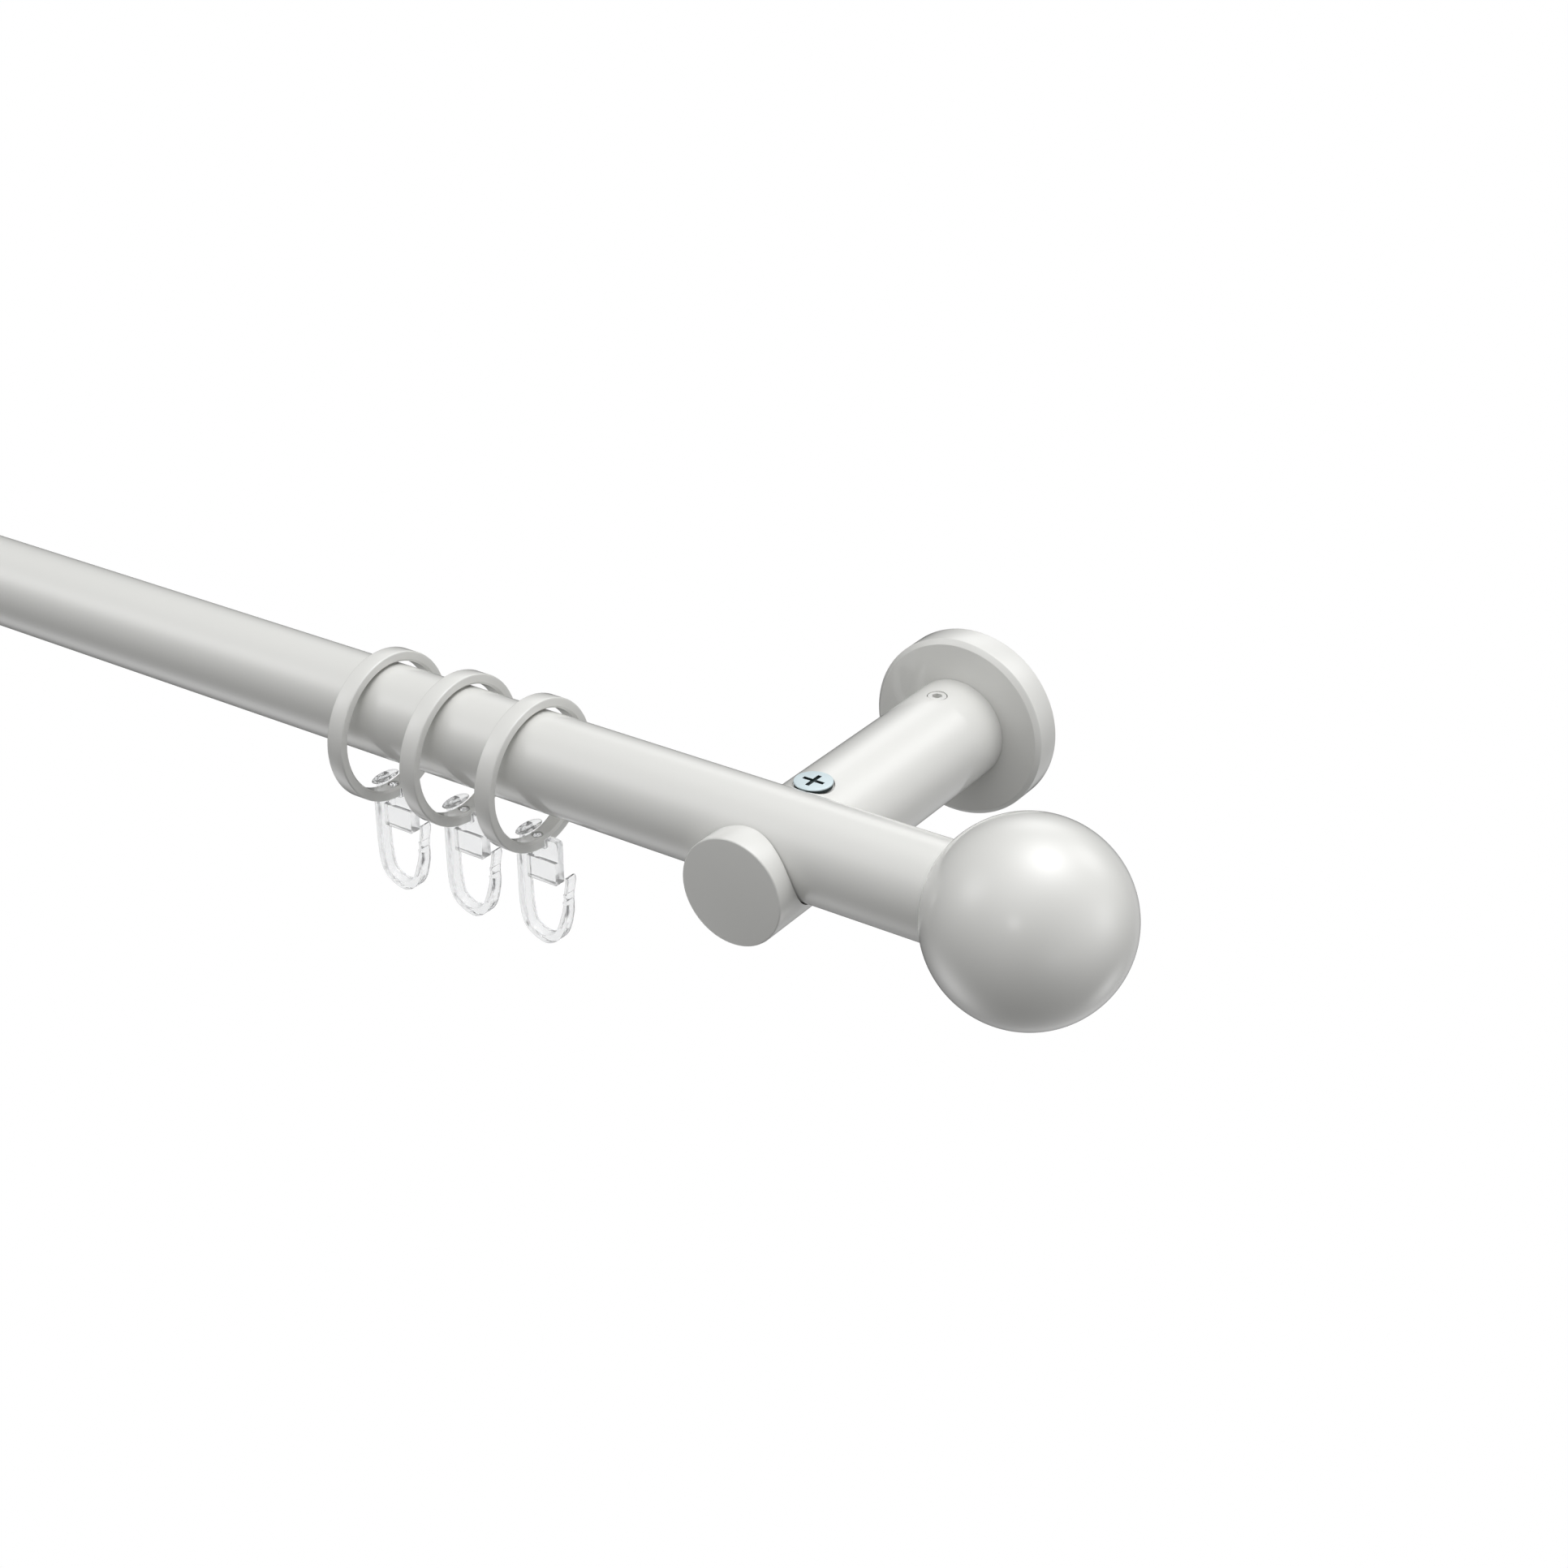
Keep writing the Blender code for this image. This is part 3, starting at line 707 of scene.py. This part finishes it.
def catmull_rom(a, b, c, d, t):
    """The value at t between b and c, with a before them and d after."""
    slope = (c - a) * t
    bend = (2 * a - 5 * b + 4 * c - d) * t**2
    twist = (3 * b - a - 3 * c + d) * t**3
    return 0.5 * (2 * b + slope + bend + twist)


def smooth_path(points, steps):
    """Smooth samples of (x, depth, thickness) through every point."""
    padded = [points[0], *points, points[-1]]
    path = []
    for stretch in zip(padded, padded[1:], padded[2:], padded[3:]):
        for step in range(steps):
            path.append(tuple(catmull_rom(*values, step / steps) for values in zip(*stretch)))
    path.append(points[-1])
    return path


def tooth(x, depth):
    """How far the arm's inner side stands in at this depth, for its two small catches."""
    for start in TEETH:
        if x > 0.005 and 0.0 <= depth - start < TOOTH_RUN:
            return TOOTH_HEIGHT * (1 - (depth - start) / TOOTH_RUN)
    return 0.0


def arm_outline():
    """The arm's left-hand side from leg to tip and its inner side back up, as (x, height) points."""
    path = smooth_path(ARM, ARM_STEPS)
    outer = []
    inner = []
    for index, (x, depth, thickness) in enumerate(path):
        ahead = path[min(index + 1, len(path) - 1)]
        behind = path[max(index - 1, 0)]
        along = Vector((ahead[0] - behind[0], behind[1] - ahead[1])).normalized()
        side = Vector((along.y, -along.x))
        outer.append((x + side.x * thickness / 2, -depth + side.y * thickness / 2))
        reach = thickness / 2 + tooth(x, depth)
        inner.append((x - side.x * reach, -depth - side.y * reach))
    return outer[1:], inner[:0:-1]


def quarter_round(corner_x, corner_height, radius, start):
    """Points of a rounded corner, turning by a quarter from the start angle."""
    steps = 8
    centre_x = corner_x - radius * (math.cos(start) + math.cos(start + math.pi / 2))
    centre_height = corner_height - radius * (math.sin(start) + math.sin(start + math.pi / 2))
    angles = [start + step * math.pi / 2 / steps for step in range(steps + 1)]
    return [(centre_x + radius * math.cos(a), centre_height + radius * math.sin(a)) for a in angles]


def head_mesh():
    """An oval plate with a flat underside and a rounded top edge."""
    edge = [(radius, rise - HEAD_UNDERSIDE) for radius, rise in HEAD_ROUNDING]
    plate = turned("head", [(0.0, -HEAD_UNDERSIDE), *edge, (0.0, -HEAD_TOP)], "Z", 64)
    plate.transform(Matrix.Diagonal((HEAD_SEMI_X, HEAD_SEMI_Y, 1.0, 1.0)))
    plate.transform(Matrix.Translation((HEAD_CENTRE, 0.0, 0.0)))
    return plate


def hook_mesh():
    """The clear hook about the ring's centre plane, with height zero at the rod's axis."""
    outer, inner = arm_outline()
    leg_inner = ARM[0][0] + ARM[0][2] / 2
    outline = [
        *outer,
        *inner,
        (leg_inner, -CROWN_BOTTOM),
        (BLOCK_LEFT, -CROWN_BOTTOM),
        (BLOCK_LEFT, -BLOCK_BOTTOM),
        (FORK_RIGHT, -BLOCK_BOTTOM),
        *quarter_round(FORK_RIGHT, -FORK_RIGHT_TOP, FORK_CORNER, 0.0),
        (FORK_GRIP, -FORK_RIGHT_TOP),
        (FORK_GRIP, -CROWN_TOP),
        (-FORK_GRIP, -CROWN_TOP),
        (-FORK_GRIP, -FORK_LEFT_TOP),
        *quarter_round(FORK_LEFT, -FORK_LEFT_TOP, FORK_CORNER, math.pi / 2),
        (FORK_LEFT, -SHOULDER_TOP),
        (LEG_LEFT, -SHOULDER_BOTTOM),
    ]
    step = block(
        "step",
        (leg_inner, -2 * HOOK_HALF_DEPTH, -BLOCK_TOP),
        (2 * FORK_RIGHT, FORK_FRONT, 0.0),
    )
    slit = block(
        "slit",
        (HEAD_CENTRE, SLIT_PLACE, SLIT_RISE - HEAD_UNDERSIDE),
        (HEAD_CENTRE + 2 * HEAD_SEMI_X, SLIT_PLACE + SLIT_WIDTH, 0.0),
    )
    peg = upright("peg", (0.0, 0.0), PEG_RADIUS, -BLOCK_TOP - PEG_FOOT, -PEG_TOP, 48)
    return combined(
        extruded("hook_skin", outline, HOOK_HALF_DEPTH, HOOK_EDGE),
        [("DIFFERENCE", step), ("UNION", head_mesh()), ("UNION", peg), ("DIFFERENCE", slit)],
    )


def build_pieces():
    """The fine pieces, and the materials of the CAD nodes that stay as they are."""
    white = lacquer("white_lacquer", WHITE, 0.36, 0.9, 0.04)
    gloss = lacquer("gloss_lacquer", WHITE, 0.38, 1.0, 0.03)
    plate = plated_steel("plate_steel", (0.60, 0.61, 0.62), 0.38, 1.0)
    steel = lacquer("screw_steel", (0.76, 0.76, 0.74), 0.35, 0.5, 0.10)
    zinc = plated_steel("zinc", (0.78, 0.90, 0.94), 0.42, 0.5)
    # Dark material for painted shade on the clamp screws: the cross recess, the lower edge of the head and
    # the skirt under it
    recess = moulded("recess_shade", (0.015, 0.030, 0.032), 0.55)
    plug = moulded("plug_plastic", (0.05, 0.05, 0.05), 0.5)
    clear = clear_plastic("clear_plastic")

    for side in SIDES:
        for node, material in ((f"wall_plate_{side}", plate), (f"finial_plug_{side}", plug)):
            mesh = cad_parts[node].data
            mesh.materials.clear()
            mesh.materials.append(material)

    show("rod_skin", rod_mesh(), [white], RAIL, "rod")
    hook = hook_mesh()
    for side in SIDES:
        fixed = (
            ("post", post_mesh, [white], "white_lacquer"),
            ("rosette", rosette_mesh, [white], "white_lacquer"),
            ("grub_screw", grub_mesh, [steel], "screw_steel"),
            ("clamp_screw", clamp_mesh, [zinc, recess], "zinc"),
            ("finial_ball", ball_mesh, [gloss], "gloss_lacquer"),
        )
        for part, make, materials, slot in fixed:
            node = f"{part}_{side}"
            show(f"{node}_skin", make(side), materials, RAIL, node)
        for number in NUMBERS:
            ring = f"ring_{side}_{number}"
            clip = f"hook_{side}_{number}"
            body = f"glider_{side}_{number}"
            show(f"{ring}_skin", ring_mesh(ring), [white], body, ring)
            middle = middle_of(ring)
            placed = hook.copy()
            placed.transform(Matrix.Translation((middle.x, middle.y, middle_of("rod").z)))
            show(f"{clip}_skin", placed, [clear], body, clip)


# ---------------------------------------------------------------- studio


def towards(azimuth, elevation):
    """The direction of an azimuth and elevation in degrees, azimuth 0 being straight in front."""
    turn, rise = math.radians(azimuth), math.radians(elevation)
    return Vector((math.sin(turn) * math.cos(rise), -math.cos(turn) * math.cos(rise), math.sin(rise)))


def lobe(tree, direction, azimuth, elevation, tightness, strength):
    """Strength * max(0, cosine of the angle from the lobe's own direction) ** tightness."""
    dot = tree.nodes.new("ShaderNodeVectorMath")
    dot.operation = "DOT_PRODUCT"
    dot.inputs[1].default_value = towards(azimuth, elevation)
    tree.links.new(direction, dot.inputs[0])
    lit = maths(tree, "MAXIMUM", dot.outputs["Value"], 0.0)
    return maths(tree, "MULTIPLY", maths(tree, "POWER", lit, tightness), strength)


def studio_light(tree, direction):
    """The strength of the light from a direction: all the lobes, less what the flag holds back."""
    total = 0.0
    for row in STUDIO_LIGHTS:
        total = maths(tree, "ADD", lobe(tree, direction, *row), total)
    open_part = maths(tree, "SUBTRACT", 1.0, lobe(tree, direction, *FLAG))
    return maths(tree, "MULTIPLY", open_part, total)


def build_studio():
    """Soft light from all round, over a pale floor far below the part."""
    world = bpy.data.worlds.new("studio")
    bpy.context.scene.world = world
    world.use_nodes = True
    tree = world.node_tree
    background = tree.nodes["Background"]
    background.inputs["Color"].default_value = (1.0, 1.0, 1.0, 1.0)
    place = tree.nodes.new("ShaderNodeTexCoord")
    strength = studio_light(tree, place.outputs["Generated"])
    tree.links.new(strength, background.inputs["Strength"])
    seen = tree.nodes.new("ShaderNodeBackground")
    seen.inputs["Color"].default_value = (1.0, 1.0, 1.0, 1.0)
    rays = tree.nodes.new("ShaderNodeLightPath")
    choose = tree.nodes.new("ShaderNodeMixShader")
    through = maths(tree, "MULTIPLY", rays.outputs["Is Transmission Ray"], CLEAR_BACKDROP)
    plain = maths(tree, "MAXIMUM", rays.outputs["Is Camera Ray"], through)
    tree.links.new(plain, choose.inputs["Fac"])
    tree.links.new(background.outputs["Background"], choose.inputs[1])
    tree.links.new(seen.outputs["Background"], choose.inputs[2])
    tree.links.new(choose.outputs["Shader"], tree.nodes["World Output"].inputs["Surface"])

    low, high = CAD_BOUNDS
    shape = bmesh.new()
    bmesh.ops.create_grid(shape, x_segments=1, y_segments=1, size=FLOOR_REACH)
    floor = bpy.data.objects.new("floor", to_mesh("floor", shape))
    floor.location = ((low[0] + high[0]) / 2, 0.0, low[2] - FLOOR_DROP)
    bpy.context.scene.collection.objects.link(floor)
    pale, _, shader = new_material("pale_floor")
    shader.inputs["Base Color"].default_value = (0.0, 0.0, 0.0, 1.0)
    shader.inputs["Specular IOR Level"].default_value = 0.0
    shader.inputs["Emission Color"].default_value = (1.0, 1.0, 1.0, 1.0)
    shader.inputs["Emission Strength"].default_value = 1.0
    floor.data.materials.append(pale)
    floor.visible_diffuse = False
    floor.visible_glossy = False
    floor.visible_shadow = False
    bpy.context.scene.view_settings.view_transform = "Standard"


def build_camera():
    """The camera, looking down at the right-hand end from in front and to the right."""
    lens = bpy.data.cameras.new("camera")
    lens.lens = CAMERA_LENS
    lens.sensor_width = 36.0
    lens.clip_start = 0.01
    lens.clip_end = 100.0
    camera = bpy.data.objects.new("camera", lens)
    flat = math.cos(CAMERA_ELEVATION)
    back = Vector(
        (math.sin(CAMERA_AZIMUTH) * flat, -math.cos(CAMERA_AZIMUTH) * flat, math.sin(CAMERA_ELEVATION))
    )
    camera.location = CAMERA_TARGET + back * CAMERA_DISTANCE
    camera.rotation_euler = (math.pi / 2 - CAMERA_ELEVATION, 0.0, CAMERA_AZIMUTH)
    bpy.context.scene.collection.objects.link(camera)
    bpy.context.scene.camera = camera


build_pieces()
build_studio()
build_camera()
